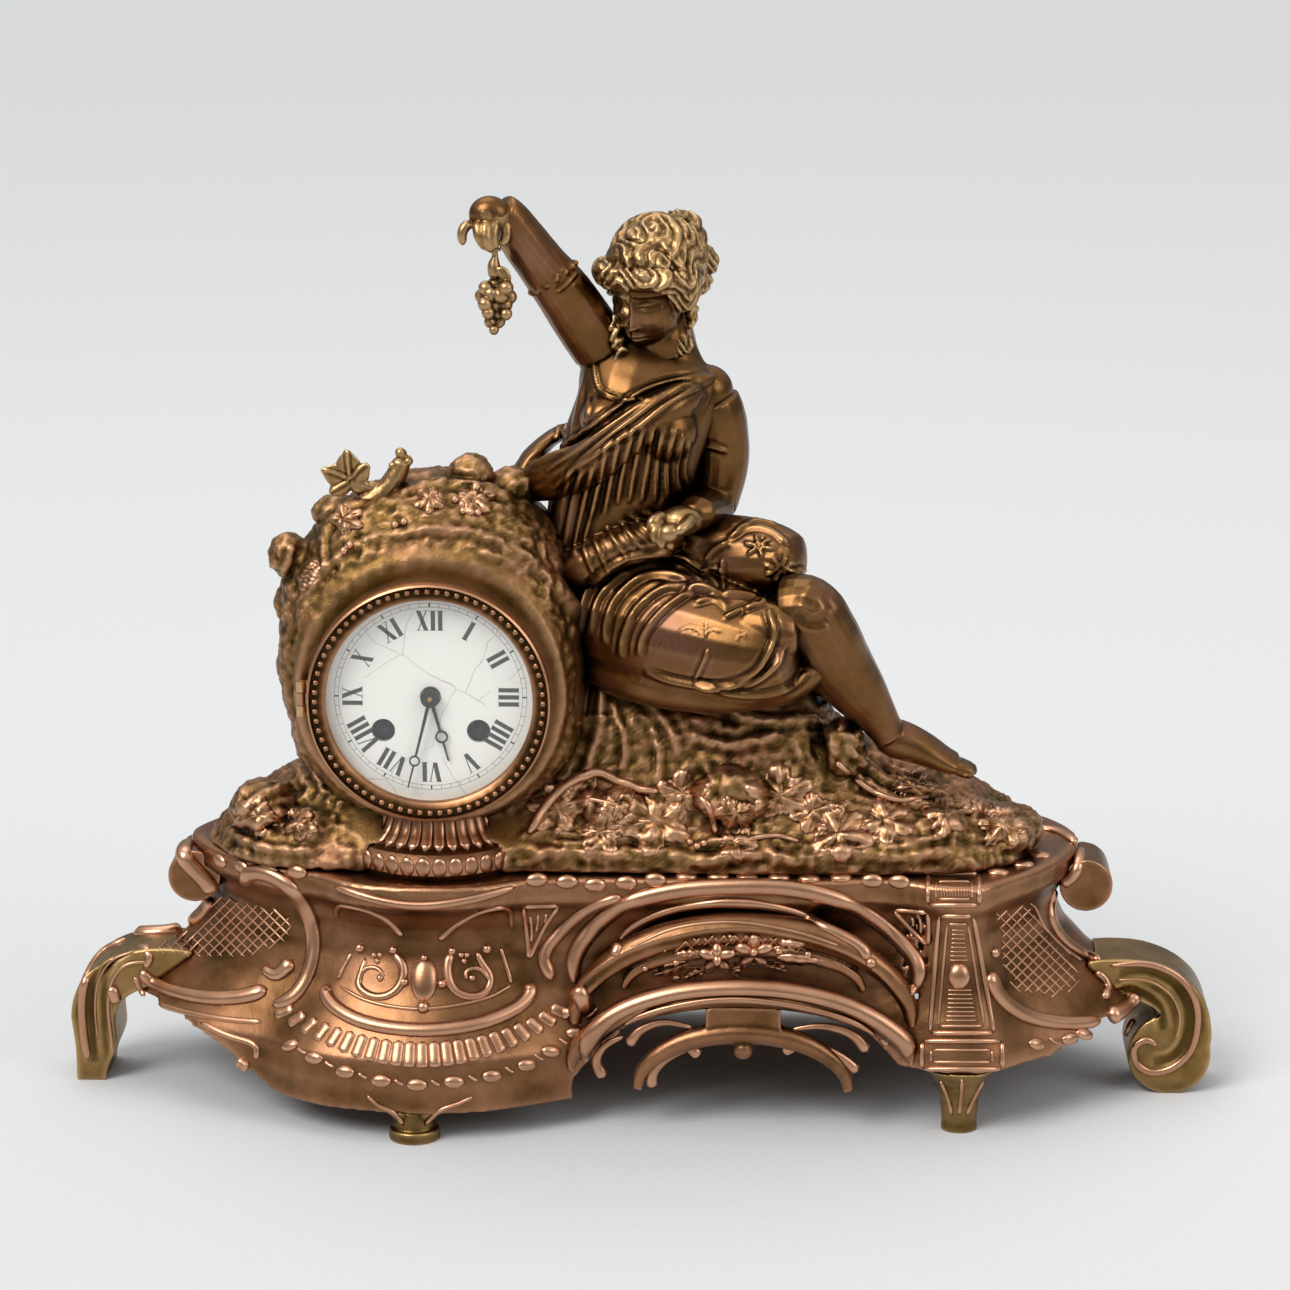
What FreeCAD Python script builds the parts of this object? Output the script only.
import FreeCAD, Part
import math
import os

# A figural mantel clock in patinated cast metal: a scrolled plinth, a rocky mound that holds the
# drum of the movement, and a seated figure in classical dress who lifts a bunch of grapes.
# Millimetres. +X is to the right of the dial, +Y is to the back and +Z is up.
# The origin is on the table, under the middle of the plinth's length and depth.

V = FreeCAD.Vector
UP = V(0, 0, 1)
BACK = V(0, 1, 0)
RIGHT = V(1, 0, 0)

# Plinth
BASE_LENGTH = 474.0
BASE_DEPTH = 170.0
DECK_Z = 104.0
BASE_WALL = 4.0
FOOT_PAD_RADIUS = 10.4
REAR_FOOT_RADIUS = 9.0
SCROLL_WIDTH = 30.0
SCROLL_THICKNESS = 17.5
VOLUTE_RADIUS = 17.2
FOOT_FLAT = 0.4
CORNER_VOLUTE_RADIUS = 10.9
OUTER_SCROLL_RADIUS = 6.2
INNER_SCROLL_RADIUS = 3.5
ARCH_SCROLL_RADIUS = 5.7
APRON_RADIUS = 4.7
DROP_RADIUS = 4.4

# Drum and dial
DRUM_X = -81.0
DRUM_Z = 179.0
BORE_RADIUS = 46.0
DRUM_FRONT_Y = -55.0
DRUM_REAR_Y = 40.0
BEZEL_RADIUS = 48.6
SIGHT_RADIUS = 41.0
BEZEL_DEPTH = 8.0
BEZEL_LIP = 0.8
BEZEL_REBATE = 1.6
GLASS_THICKNESS = 1.2
SEAT_THICKNESS = 5.0
DIAL_RADIUS = 43.0
DIAL_THICKNESS = 1.6
DIAL_PLATE_THICKNESS = 1.0
BEAD_COUNT = 72
BEAD_RADIUS = 1.35

# Movement
PLATE_RADIUS = 41.0
PLATE_THICKNESS = 2.0
PLATE_GAP = 34.0
MOTION_SPACE = 8.0
PILLAR_RADIUS = 2.4
ARBOR_RADIUS = 0.6
CENTRE_ARBOR_RADIUS = 0.9
WINDING_ARBOR_RADIUS = 2.4
WINDING_SQUARE = 3.2
WINDING_HOLE_RADIUS = 4.7
WINDING_OUT = 19.0
WINDING_DOWN = 14.0
WHEEL_THICKNESS = 1.2
GREAT_WHEEL_THICKNESS = 1.6
PINION_OVERHANG = 0.4
BARREL_WALL = 1.2
BARREL_STEP = 2.2
RUNNING_GAP = 0.05
END_FLOAT = 0.3
SEAT_GAP = 0.3
PALLET_UP = 31.5
ESCAPE_UP = 20.5
PENDULUM_LENGTH = 92.0
PENDULUM_BACK = 9.0
BOB_RADIUS = 12.5
BOB_THICKNESS = 7.0
ROD_RADIUS = 0.9
BELL_RADIUS = 23.0
BELL_DEPTH = 15.0
BELL_WALL = 1.4
BELL_DROP = 5.0
BELL_BACK = 10.0

# Mound and figure
MOUND_FRONT = 52.0
MOUND_BACK = 38.0
MOUND_WALL = 6.0
SOCLE_RADIUS = 38.0
SOCLE_HEIGHT = 26.0
FIGURE_HEIGHT = 200.0
SEAT_X = 0.0
SEAT_Y = 0.0
SEAT_Z = 176.0
STUD_RADIUS = 2.0
STUD_DEPTH = 12.0
STUD_NUT_HALF = 5.0
STUD_NUT_HEIGHT = 3.5
STUD_TAIL = 5.0
OVERRUN = 10.0

# Gears, from the barrels to the escape wheel and the fly
BARREL_TEETH = 84
BARREL_MODULE = 0.43
SECOND_PINION_TEETH = 12
SECOND_TEETH = 72
SECOND_MODULE = 0.33
CENTRE_PINION_TEETH = 12
CENTRE_TEETH = 84
CENTRE_MODULE = 0.30
THIRD_PINION_TEETH = 7
THIRD_TEETH = 84
THIRD_MODULE = 0.27
ESCAPE_PINION_TEETH = 7
ESCAPE_TEETH = 41
ESCAPE_RADIUS = 8.5
PIN_TEETH = 72
PIN_MODULE = 0.30
LOCK_PINION_TEETH = 8
LOCK_TEETH = 64
LOCK_MODULE = 0.25
FLY_PINION_TEETH = 8
MOTION_MODULE = 0.40
CANNON_TEETH = 10
MINUTE_TEETH = 30
MINUTE_PINION_TEETH = 8
HOUR_TEETH = 32
RATCHET_TEETH = 26
RATCHET_RADIUS = 6.5

# Hands, as they stand in the photograph, at about half past five
MINUTE_HAND_DEGREES = 194.0
HOUR_HAND_DEGREES = 165.0
MINUTE_HAND_LENGTH = 38.0
HOUR_HAND_LENGTH = 27.0
HAND_THICKNESS = 0.7
HAND_ROOT_HALF = 0.75
HAND_TIP_HALF = 0.30

os.makedirs("parts", exist_ok=True)
HALF_LENGTH = BASE_LENGTH / 2
HALF_DEPTH = BASE_DEPTH / 2


# Shared helpers

def save(name, *shapes):
    """Write one sub-part, a solid or a group of separate solids, as a STEP file."""
    solids = [s for shape in shapes for s in shape.Solids]
    shape = solids[0] if len(solids) == 1 else Part.makeCompound(solids)
    shape.exportStep("parts/" + name + ".step")


def cylinder(radius, y0, y1, x=0.0, z=0.0):
    """A round bar along Y, placed from the drum's centre."""
    return Part.makeCylinder(radius, y1 - y0, V(DRUM_X + x, y0, DRUM_Z + z), BACK)


def tube(outer, inner, y0, y1, x=0.0, z=0.0):
    return cylinder(outer, y0, y1, x, z).cut(cylinder(inner, y0 - OVERRUN, y1 + OVERRUN, x, z))


def block(x0, x1, y0, y1, z0, z1):
    return Part.makeBox(x1 - x0, y1 - y0, z1 - z0, V(x0, y0, z0))


def closed_curve(points):
    curve = Part.BSplineCurve()
    curve.interpolate(Points=points, PeriodicFlag=True)
    return Part.Wire(curve.toShape())


def ring(centre, direction, width, height, reference=BACK, count=12):
    """An oval ring across a limb: height is measured along the reference direction."""
    along = V(direction).normalize()
    tall = V(reference) - along * along.dot(reference)
    tall.normalize()
    wide = tall.cross(along)
    turns = [2 * math.pi * i / count for i in range(count)]
    across = [wide * (width * math.cos(a)) + tall * (height * math.sin(a)) for a in turns]
    return closed_curve([centre + offset for offset in across])


def limb(stations, reference=BACK):
    """A loft along stations of (place, half width, half height), with its ends drawn in."""
    places = [s[0] for s in stations]
    rings = []
    for i, (place, width, height) in enumerate(stations):
        before, after = places[max(i - 1, 0)], places[min(i + 1, len(places) - 1)]
        rings.append(ring(place, after - before, width, height, reference))
    return Part.makeLoft(rings, True, False)


def ball(centre, radius):
    return Part.makeSphere(radius, centre)


def stretched(shape, centre, x_scale, y_scale, z_scale):
    """A copy of a shape that is centred on the origin, stretched and set at a place."""
    matrix = FreeCAD.Matrix()
    matrix.scale(V(x_scale, y_scale, z_scale))
    grown = shape.transformGeometry(matrix)
    grown.translate(centre)
    return grown


# Plinth

# Outlines from the left scroll round the front, the right and the back, as shares of half the
# length and half the depth. The front bulges under the drum and breaks forward at the pilaster.
CORNICE_SHARES = [
    (-0.785, 0.00), (-0.755, -0.16), (-0.700, -0.34), (-0.620, -0.52), (-0.545, -0.62), (-0.505, -0.72),
    (-0.430, -0.81), (-0.345, -0.835), (-0.260, -0.80), (-0.190, -0.71), (-0.130, -0.675), (0.060, -0.67),
    (0.300, -0.67), (0.470, -0.67), (0.505, -0.72), (0.590, -0.72), (0.625, -0.62), (0.690, -0.42),
    (0.740, -0.18), (0.765, 0.05), (0.735, 0.38), (0.640, 0.62), (0.420, 0.74), (0.100, 0.78),
    (-0.250, 0.78), (-0.520, 0.70), (-0.690, 0.50), (-0.765, 0.24)]
WAIST_SHARES = [
    (-0.745, 0.00), (-0.715, -0.13), (-0.665, -0.29), (-0.590, -0.45), (-0.520, -0.54), (-0.475, -0.60),
    (-0.410, -0.66), (-0.345, -0.68), (-0.275, -0.66), (-0.205, -0.61), (-0.135, -0.60), (0.060, -0.60),
    (0.300, -0.60), (0.470, -0.60), (0.510, -0.665), (0.580, -0.665), (0.610, -0.56), (0.670, -0.36),
    (0.710, -0.15), (0.725, 0.05), (0.700, 0.33), (0.610, 0.55), (0.410, 0.67), (0.100, 0.71),
    (-0.250, 0.71), (-0.500, 0.63), (-0.655, 0.44), (-0.725, 0.20)]
RIM_SHARES = [
    (-0.960, 0.00), (-0.905, -0.18), (-0.830, -0.40), (-0.720, -0.58), (-0.640, -0.68), (-0.565, -0.84),
    (-0.460, -0.95), (-0.350, -0.99), (-0.245, -0.94), (-0.150, -0.82), (-0.090, -0.74), (0.060, -0.72),
    (0.300, -0.72), (0.450, -0.74), (0.490, -0.80), (0.620, -0.80), (0.670, -0.68), (0.760, -0.50),
    (0.860, -0.28), (0.950, 0.05), (0.870, 0.42), (0.720, 0.70), (0.450, 0.92), (0.100, 0.99),
    (-0.250, 0.99), (-0.540, 0.88), (-0.760, 0.60), (-0.900, 0.28)]
# Height share of the deck, then how far the outline lies from the waist towards the rim (below)
# or towards the cornice (above).
PROFILE_SHARES = [
    (0.12, "rim", 0.96), (0.23, "rim", 1.00), (0.33, "rim", 0.94), (0.45, "rim", 0.62), (0.56, "rim", 0.30),
    (0.68, "rim", 0.08), (0.78, "rim", 0.00), (0.87, "cornice", 0.45), (0.91, "cornice", 1.00),
    (1.00, "cornice", 0.97)]


def outline(target, share, z, inset):
    shares = RIM_SHARES if target == "rim" else CORNICE_SHARES
    points = []
    for (wx, wy), (tx, ty) in zip(WAIST_SHARES, shares):
        x = (wx + (tx - wx) * share) * (HALF_LENGTH - inset)
        y = (wy + (ty - wy) * share) * (HALF_DEPTH - inset)
        points.append(V(x, y, z))
    return closed_curve(points)


def base_form(inset, bottom, top):
    """The plinth's outer form, or its hollow when an inset is given."""
    levels = [(bottom, PROFILE_SHARES[0][1], PROFILE_SHARES[0][2])]
    for height_share, target, share in PROFILE_SHARES:
        z = height_share * DECK_Z
        if bottom < z < top:
            levels.append((z, target, share))
    levels.append((top, levels[-1][1], levels[-1][2]))
    return Part.makeLoft([outline(target, share, z, inset) for z, target, share in levels], True, True)


def front_prism(points, y0, y1):
    """A prism along Y of a closed outline that is seen from the front."""
    corners = [V(x, y0, z) for x, z in points]
    face = Part.Face(Part.makePolygon(corners + corners[:1]))
    return face.extrude(V(0, y1 - y0, 0))


def share_prism(shares, y0, y1):
    return front_prism([(x * HALF_LENGTH, z * DECK_Z) for x, z in shares], y0, y1)


# The rim's lower edge, seen from the front: what is cut away under the sides and under the pilaster
RIM_BOTTOM_SHARE = 0.12
ARCH_LEFT_SHARE = -0.105
ARCH_RIGHT_SHARE = 0.475
ARCH_SPRING_SHARE = 0.19
ARCH_CROWN_SHARE = 0.54
FRONT_LINE_SHARE = -0.72
LEFT_EDGE_SHARES = [(-0.62, 0), (-1.04, 0), (-1.04, 0.38), (-0.80, 0.36), (-0.72, 0.28), (-0.62, 0.12)]
RIGHT_EDGE_SHARES = [(0.66, 0), (1.04, 0), (1.04, 0.38), (0.80, 0.36), (0.72, 0.28), (0.66, 0.12)]
PILASTER_EDGE_SHARES = [(0.45, 0), (0.80, 0), (0.80, 0.27), (0.45, 0.26)]
ARCH_LEFT = ARCH_LEFT_SHARE * HALF_LENGTH
ARCH_RIGHT = ARCH_RIGHT_SHARE * HALF_LENGTH
ARCH_MIDDLE = (ARCH_LEFT + ARCH_RIGHT) / 2
ARCH_HALF = (ARCH_RIGHT - ARCH_LEFT) / 2
FRONT_LINE_Y = FRONT_LINE_SHARE * HALF_DEPTH
RIM_BOTTOM_Z = RIM_BOTTOM_SHARE * DECK_Z


def arch_cut():
    """The opening under the middle of the front, between the bulge and the pilaster."""
    spring = ARCH_SPRING_SHARE * DECK_Z
    start = V(ARCH_LEFT, -HALF_DEPTH, spring)
    crown = V(ARCH_MIDDLE, -HALF_DEPTH, ARCH_CROWN_SHARE * DECK_Z)
    end = V(ARCH_RIGHT, -HALF_DEPTH, spring)
    low_right = V(ARCH_RIGHT, -HALF_DEPTH, 0)
    low_left = V(ARCH_LEFT, -HALF_DEPTH, 0)
    edges = [Part.Arc(start, crown, end).toShape()]
    for first, last in ((end, low_right), (low_right, low_left), (low_left, start)):
        edges.append(Part.makeLine(first, last))
    return Part.Face(Part.Wire(edges)).extrude(V(0, HALF_DEPTH, 0))


# Places of the studs, as shares of the plinth's half length and half depth
STUD_SHARES = [(-0.60, 0.05), (0.15, 0.20), (0.48, 0.10), (-0.13, -0.10)]
REAR_FOOT_SHARES = [(-0.46, 0.86), (0.42, 0.86)]
STUD_PLACES = [(x * HALF_LENGTH, y * HALF_DEPTH) for x, y in STUD_SHARES]


def make_base():
    """The solid form that the ornaments are cut back to, and the hollow casting itself."""
    form = base_form(0, RIM_BOTTOM_Z, DECK_Z)
    form = form.cut(arch_cut())
    form = form.cut(share_prism(LEFT_EDGE_SHARES, -HALF_DEPTH, HALF_DEPTH))
    form = form.cut(share_prism(RIGHT_EDGE_SHARES, -HALF_DEPTH, HALF_DEPTH))
    form = form.cut(share_prism(PILASTER_EDGE_SHARES, -HALF_DEPTH, 0))
    hollow = base_form(BASE_WALL, RIM_BOTTOM_Z / 2, DECK_Z - BASE_WALL)
    shell = form.cut(hollow)
    for x, y in STUD_PLACES:
        shell = shell.cut(Part.makeCylinder(STUD_RADIUS, 2 * OVERRUN, V(x, y, DECK_Z - OVERRUN)))
    for x, y in REAR_FOOT_SHARES:
        place = V(x * HALF_LENGTH, y * HALF_DEPTH, 0)
        shell = shell.fuse(Part.makeCone(REAR_FOOT_RADIUS * 0.8, REAR_FOOT_RADIUS, RIM_BOTTOM_Z, place))
    return form, shell


# The scroll foot, seen from the front: centre line as shares of the plinth's half length and of the
# deck's height, and half thickness as a share of the scroll's thickness. The left foot is cut off
# square above the table, as in the photograph.
SCROLL_LINE_SHARES = [(0.78, 0.50, 0.30), (0.84, 0.485, 0.44), (0.90, 0.45, 0.50), (0.945, 0.37, 0.53),
                      (0.960, 0.27, 0.53), (0.957, 0.16, 0.50)]
LEFT_STUMP_SHARES = [(0.965, 0.05, 0.37), (0.966, -0.01, 0.36)]


def scroll_band(side, line_shares, depth):
    """A band that follows a line seen from the front and runs straight through in depth."""
    outer = []
    inner = []
    for i, (x_share, z_share, thick_share) in enumerate(line_shares):
        before = line_shares[max(i - 1, 0)]
        after = line_shares[min(i + 1, len(line_shares) - 1)]
        dx = (after[0] - before[0]) * HALF_LENGTH
        dz = (after[1] - before[1]) * DECK_Z
        half = thick_share * SCROLL_THICKNESS / math.hypot(dx, dz)
        x = x_share * HALF_LENGTH
        z = z_share * DECK_Z
        outer.append(V(side * (x - dz * half), -depth / 2, z + dx * half))
        inner.append(V(side * (x + dz * half), -depth / 2, z - dx * half))
    curves = []
    for points in (outer, inner):
        curve = Part.BSplineCurve()
        curve.interpolate(points)
        curves.append(curve.toShape())
    wire = Part.Wire([curves[0], Part.makeLine(outer[-1], inner[-1]), curves[1], Part.makeLine(inner[0],
                                                                                               outer[0])])
    return Part.Face(wire).extrude(V(0, depth, 0))


def largest(shape):
    return sorted(shape.Solids, key=lambda s: s.Volume)[-1]


def table_cut(height):
    """All that lies under a level, to cut a foot flat."""
    return block(-BASE_LENGTH, BASE_LENGTH, -BASE_DEPTH, BASE_DEPTH, -DECK_Z, height)


def make_scroll_foot(side, form):
    """The left foot ends in a square stump, and the right one rolls up in a volute on the table."""
    if side < 0:
        foot = scroll_band(side, SCROLL_LINE_SHARES + LEFT_STUMP_SHARES, SCROLL_WIDTH).cut(table_cut(0))
        return largest(foot.cut(form))
    foot = scroll_band(side, SCROLL_LINE_SHARES, SCROLL_WIDTH)
    roll_x = HALF_LENGTH - VOLUTE_RADIUS
    roll = Part.makeCylinder(VOLUTE_RADIUS, SCROLL_WIDTH, V(roll_x, -SCROLL_WIDTH / 2,
                                                            VOLUTE_RADIUS - FOOT_FLAT), BACK)
    return largest(foot.fuse(roll).cut(table_cut(0)).cut(form))


BRACKET_X_SHARE = -0.372
BRACKET_Y_SHARE = -0.875
# Along each leaf: out and up, half width and half height, as shares of the pad's radius
BRACKET_LEAF_SHARES = [(0.2, 0.8, 0.45, 0.6), (0.8, 1.4, 0.45, 0.7), (1.7, 1.9, 0.40, 0.7), (2.7, 2.35,
                                                                                             0.35, 0.6)]


def make_bracket_foot(form):
    """Two leaves that meet in a V over a small round pad, under the front of the bulge."""
    x = BRACKET_X_SHARE * HALF_LENGTH
    y = BRACKET_Y_SHARE * HALF_DEPTH
    r = FOOT_PAD_RADIUS
    pad = Part.makeCylinder(r, r * 0.45, V(x, y, 0))
    pad = pad.fuse(Part.makeCone(r * 0.85, r * 0.60, r, V(x, y, r * 0.45)))
    for side in (-1, 1):
        stations = [(V(x + side * out * r, y, up * r), w * r, h * r) for out, up, w,
                    h in BRACKET_LEAF_SHARES]
        pad = pad.fuse(limb(stations))
    return largest(pad.cut(form))


LEAF_FOOT_X_SHARE = 0.555
LEAF_FOOT_Y_SHARE = -0.665
# Up the foot: height as a share of the deck, and radius as a share of the foot pad
LEAF_FOOT_SHARES = [(0.0, 0.72), (0.03, 0.68), (0.12, 0.75), (0.20, 1.05), (0.27, 1.50)]


def make_leaf_foot(form):
    """A tapered leaf foot under the pilaster."""
    x = LEAF_FOOT_X_SHARE * HALF_LENGTH
    y = LEAF_FOOT_Y_SHARE * HALF_DEPTH
    wires = []
    for height, width in LEAF_FOOT_SHARES:
        radius = width * FOOT_PAD_RADIUS
        wires.append(ring(V(x, y, height * DECK_Z), UP, radius, radius))
    return largest(Part.makeLoft(wires, True, True).cut(form))


# Each arch: half width as a share of the arch, height of its ends and its rise as shares of the deck
OUTER_ARCH_SHARES = (0.99, 0.42, 0.40)
INNER_ARCH_SHARES = (0.70, 0.56, 0.17)
LOWER_ARCH_SHARES = (1.02, 0.24, 0.32)
APRON_ARCH_SHARES = (0.62, 0.17, 0.235)
ARCH_TUBE_COUNT = 9
TUBE_END_SHARE = 0.45


def arch_tube(shares, radius, y):
    """A tube bent in an arch over the front opening, thick in the middle and thin at both ends."""
    width, spring, rise = shares
    stations = []
    for i in range(ARCH_TUBE_COUNT):
        a = math.pi * i / (ARCH_TUBE_COUNT - 1)
        place = V(ARCH_MIDDLE - width * ARCH_HALF * math.cos(a), y, (spring + rise * math.sin(a)) * DECK_Z)
        thick = radius * (TUBE_END_SHARE + (1 - TUBE_END_SHARE) * math.sin(a))
        stations.append((place, thick, thick))
    return limb(stations)


def make_front_scrolls(form):
    """The raised scrolls of the front panel, and the one round the arch of the lower rim."""
    outer = arch_tube(OUTER_ARCH_SHARES, OUTER_SCROLL_RADIUS, FRONT_LINE_Y * 0.965)
    inner = arch_tube(INNER_ARCH_SHARES, INNER_SCROLL_RADIUS, FRONT_LINE_Y * 0.965)
    lower = arch_tube(LOWER_ARCH_SHARES, ARCH_SCROLL_RADIUS, FRONT_LINE_Y * 1.03)
    return [largest(s.cut(form)) for s in (outer, inner, lower)]


def make_apron(lower_scroll, form):
    """The pierced scroll that hangs in the front arch, with a ball under it."""
    y = FRONT_LINE_Y * 1.04
    bow = arch_tube(APRON_ARCH_SHARES, APRON_RADIUS, y)
    crown = (APRON_ARCH_SHARES[1] + APRON_ARCH_SHARES[2]) * DECK_Z
    neck_half = ARCH_HALF * 0.22
    neck = block(ARCH_MIDDLE - neck_half, ARCH_MIDDLE + neck_half, y - APRON_RADIUS * 0.65,
                 y + APRON_RADIUS * 0.65,
                 crown, crown + neck_half)
    drop = ball(V(ARCH_MIDDLE, y, crown - APRON_RADIUS - DROP_RADIUS / 2), DROP_RADIUS)
    apron = bow.fuse(neck).fuse(drop)
    return largest(apron.cut(lower_scroll).cut(form))


CORNER_VOLUTE_SHARE = 0.775


def make_corner_volute(side, form):
    """The rolled end of the cornice, over each scroll foot."""
    depth = SCROLL_WIDTH * 0.9
    place = V(side * CORNER_VOLUTE_SHARE * HALF_LENGTH, -depth / 2, DECK_Z - CORNER_VOLUTE_RADIUS * 1.35)
    return largest(Part.makeCylinder(CORNER_VOLUTE_RADIUS, depth, place, BACK).cut(form))


# Mound: sections across the length, with the top and the front and back edges of each, as shares of
# the plinth's half length, of the height from the deck to the seat, and of the mound's front and back.

MOUND_SHARES = [
    (-0.745, 0.05, 0.25), (-0.700, 0.18, 0.62), (-0.630, 0.36, 0.90), (-0.500, 0.60, 1.00),
    (-0.340, 0.72, 1.00), (-0.200, 1.00, 1.00), (-0.100, 1.18, 1.00), (0.020, 1.12, 1.00),
    (0.180, 1.09, 1.00), (0.290, 0.98, 0.98), (0.335, 0.74, 0.97), (0.390, 0.60, 0.96),
    (0.470, 0.50, 0.94), (0.570, 0.36, 0.88), (0.640, 0.22, 0.66), (0.690, 0.06, 0.25)]
SEAT_RISE = SEAT_Z - DECK_Z
FIRST_HOLLOW_SECTION = 2
LAST_HOLLOW_SECTION = 13


def mound_section(x_share, top_share, edge_share, wall):
    x = x_share * HALF_LENGTH
    top = DECK_Z + top_share * SEAT_RISE - wall
    front = -MOUND_FRONT * edge_share + wall
    back = MOUND_BACK * edge_share - wall
    rise = top - DECK_Z
    low = min(rise, SEAT_RISE * 0.50)
    points = [V(x, front, DECK_Z), V(x, front * 1.01, DECK_Z + 0.20 * low), V(x, front * 0.86,
                                                                              DECK_Z + 0.48 * low),
              V(x, front * 0.62, DECK_Z + 0.72 * rise), V(x, front * 0.42, top - 0.07 * rise), V(x, 0, top),
              V(x, back * 0.45, top - 0.06 * rise), V(x, back * 0.72, DECK_Z + 0.66 * rise),
              V(x, back * 0.97, DECK_Z + 0.30 * rise), V(x, back, DECK_Z)]
    curve = Part.BSplineCurve()
    curve.interpolate(points)
    return Part.Wire([curve.toShape(), Part.makeLine(points[-1], points[0])])


# The rock round the drum, seen from the front: radius as a share of the bore, every 30 degrees from +X
DRUM_ROCK_SHARES = [1.30, 1.42, 1.74, 1.78, 1.72, 1.52, 1.34, 1.36, 1.28, 1.22, 1.30, 1.34]
# From the front to the back: place along the drum, and how far the rock swells out there
DRUM_ROCK_STATION_SHARES = [(0.00, 0.10), (0.06, 0.42), (0.18, 0.86), (0.45, 1.00), (0.75, 0.80), (1.00,
                                                                                                   0.30)]
COLLAR_SHARE = 1.14


def drum_rock(wall):
    """The lump of rock that the drum is cast in, from the front edge to the back."""
    wires = []
    for along, swell in DRUM_ROCK_STATION_SHARES:
        y = DRUM_FRONT_Y + wall + (DRUM_REAR_Y - DRUM_FRONT_Y - 2 * wall) * along
        points = []
        for i, share in enumerate(DRUM_ROCK_SHARES):
            a = 2 * math.pi * i / len(DRUM_ROCK_SHARES)
            r = BORE_RADIUS * (COLLAR_SHARE + (share - COLLAR_SHARE) * swell) - wall
            points.append(V(DRUM_X + r * math.cos(a), y, DRUM_Z + r * math.sin(a)))
        wires.append(closed_curve(points))
    return Part.makeLoft(wires, True, False)


SOCLE_Y_SHARE = -0.305
SOCLE_Y = SOCLE_Y_SHARE * HALF_DEPTH
# The socle's turned profile: out and up, as shares of its radius and height
SOCLE_SHARES = [(0, 0), (0.95, 0), (1.0, 0.10), (1.0, 0.30), (0.93, 0.40), (0.84, 0.46), (0.72, 0.62),
                (0.66, 0.85),
                (0.66, 1.20), (0, 1.20)]
NICHE_HALF = 22.5
NICHE_FRONT_Y = -7.0
NICHE_TOP_SHARE = 0.8


def make_socle(bore):
    """The fluted foot under the drum, with a gadrooned rim. It stands on the plinth's bulge."""
    corners = [V(DRUM_X + x * SOCLE_RADIUS, SOCLE_Y, DECK_Z + z * SOCLE_HEIGHT) for x, z in SOCLE_SHARES]
    face = Part.Face(Part.makePolygon(corners + corners[:1]))
    socle = face.revolve(V(DRUM_X, SOCLE_Y, DECK_Z), UP, 360)
    reach = 2 * SOCLE_RADIUS
    front_half = block(DRUM_X - reach, DRUM_X + reach, SOCLE_Y - reach, SOCLE_Y + SOCLE_RADIUS * 0.15,
                       DECK_Z,
                       DECK_Z + 2 * SOCLE_HEIGHT)
    return socle.common(front_half).cut(bore)


def make_mound(socle, bore):
    """The rock as a filled form, and its hollow casting, open underneath, with the pendulum's niche."""
    ground = Part.makeLoft([mound_section(*s, 0) for s in MOUND_SHARES], True, True)
    form = ground.fuse(drum_rock(0))
    hollow_sections = MOUND_SHARES[FIRST_HOLLOW_SECTION:LAST_HOLLOW_SECTION]
    hollow = Part.makeLoft([mound_section(*s, MOUND_WALL) for s in hollow_sections], True, True)
    hollow = hollow.fuse(drum_rock(MOUND_WALL))
    hollow = hollow.cut(cylinder(BORE_RADIUS + MOUND_WALL, DRUM_FRONT_Y - OVERRUN, DRUM_REAR_Y + OVERRUN))
    keep = block(DRUM_X - NICHE_HALF - MOUND_WALL, DRUM_X + NICHE_HALF + MOUND_WALL, -BASE_DEPTH,
                 BASE_DEPTH, 0,
                 DRUM_Z)
    hollow = hollow.cut(keep)
    for x, y in STUD_PLACES:
        hollow = hollow.cut(Part.makeCylinder(STUD_NUT_HALF, STUD_DEPTH + MOUND_WALL, V(x, y, DECK_Z)))
    mound = form.cut(bore).cut(socle).cut(hollow)
    niche = block(DRUM_X - NICHE_HALF, DRUM_X + NICHE_HALF, NICHE_FRONT_Y, DRUM_REAR_Y + OVERRUN,
                  DECK_Z - OVERRUN,
                  DRUM_Z - BORE_RADIUS * NICHE_TOP_SHARE)
    mound = mound.cut(niche)
    for x, y in STUD_PLACES:
        mound = mound.cut(Part.makeCylinder(STUD_RADIUS, STUD_DEPTH, V(x, y, DECK_Z)))
    return form, largest(mound)


def make_studs():
    """Studs from the mound down through the deck, each with a square nut under it."""
    studs = []
    under = DECK_Z - BASE_WALL
    for x, y in STUD_PLACES:
        stud = Part.makeCylinder(STUD_RADIUS, STUD_DEPTH + BASE_WALL + STUD_TAIL, V(x, y,
                                                                                    under - STUD_TAIL))
        nut = block(x - STUD_NUT_HALF, x + STUD_NUT_HALF, y - STUD_NUT_HALF, y + STUD_NUT_HALF,
                    under - STUD_NUT_HEIGHT, under)
        studs.append(stud.fuse(nut))
    return studs


# Figure: places as shares of its height, from the seat

def at(x, y, z):
    """A place on the figure, from the seat, in shares of the figure's height."""
    return V(SEAT_X + x * FIGURE_HEIGHT, SEAT_Y + y * FIGURE_HEIGHT, SEAT_Z + z * FIGURE_HEIGHT)


def figure_limb(station_shares, reference=BACK):
    h = FIGURE_HEIGHT
    return limb([(at(*place), width * h, height * h) for place, width, height in station_shares], reference)


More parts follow.
